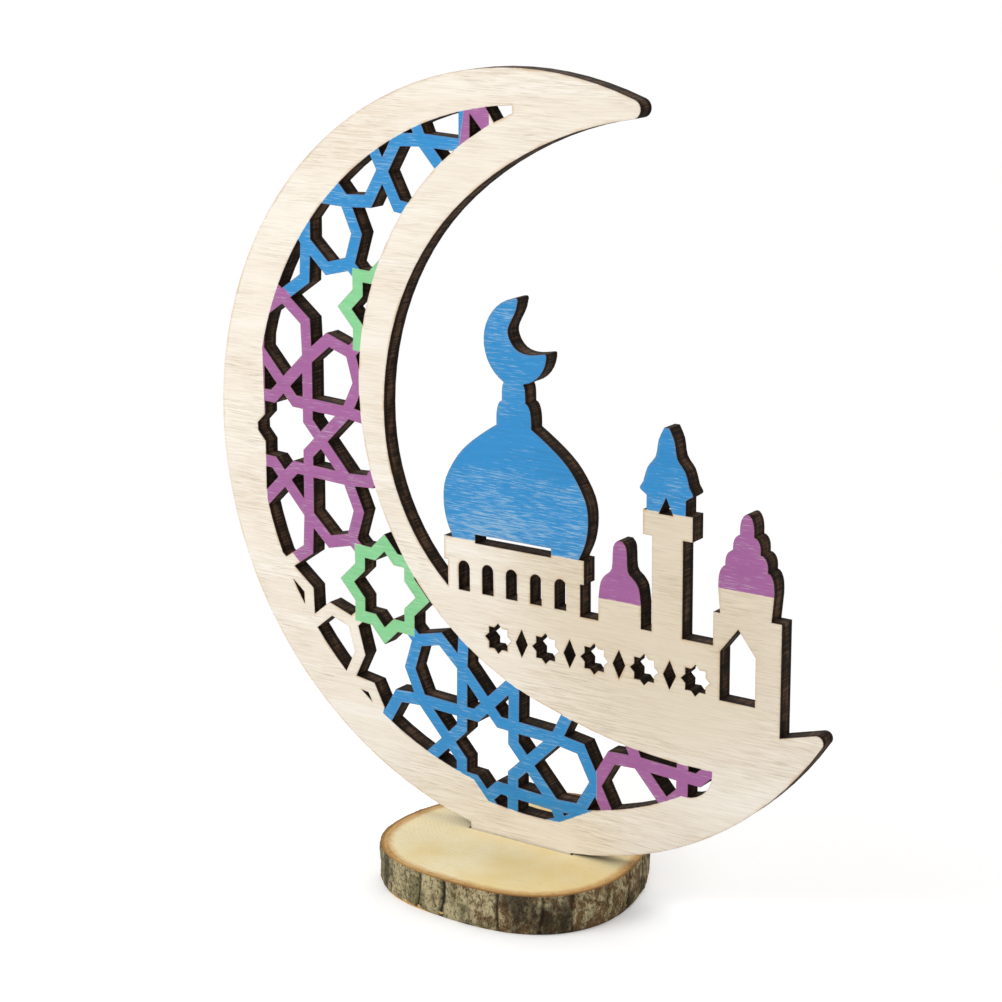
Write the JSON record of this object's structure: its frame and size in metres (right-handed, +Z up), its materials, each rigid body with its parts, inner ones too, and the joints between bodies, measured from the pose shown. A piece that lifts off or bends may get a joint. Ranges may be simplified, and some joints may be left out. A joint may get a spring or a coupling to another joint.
{
  "type": "crescent table ornament",
  "caption": "Laser-cut plywood crescent with a pierced star lattice and a mosque skyline, standing in a slot of a bark-edged log slice.",
  "frame": {"origin": "middle of the log slice's underside", "axes": "+Z up, -Y towards the viewer of the painted front face, +X to the right as seen from the front"},
  "size_m": [0.1814, 0.0675, 0.2066],
  "materials": {
    "face_veneer": "satin",
    "core_ply": "matte",
    "back_veneer": "satin",
    "log_wood": "matte",
    "inner_bark": "matte",
    "bark": "matte"
  },
  "bodies": {
    "base": {"log_wood": "log_wood", "log_inner_bark": "inner_bark", "log_bark": "bark"},
    "panel": {"panel_front_ply": "face_veneer", "panel_core": "core_ply", "panel_back_ply": "back_veneer"}
  },
  "joints": [
    {"name": "panel_lift", "type": "slide", "parent": "base", "child": "panel", "axis": [0, 0, 1], "range_m": [0, 0.0067]}
  ]
}
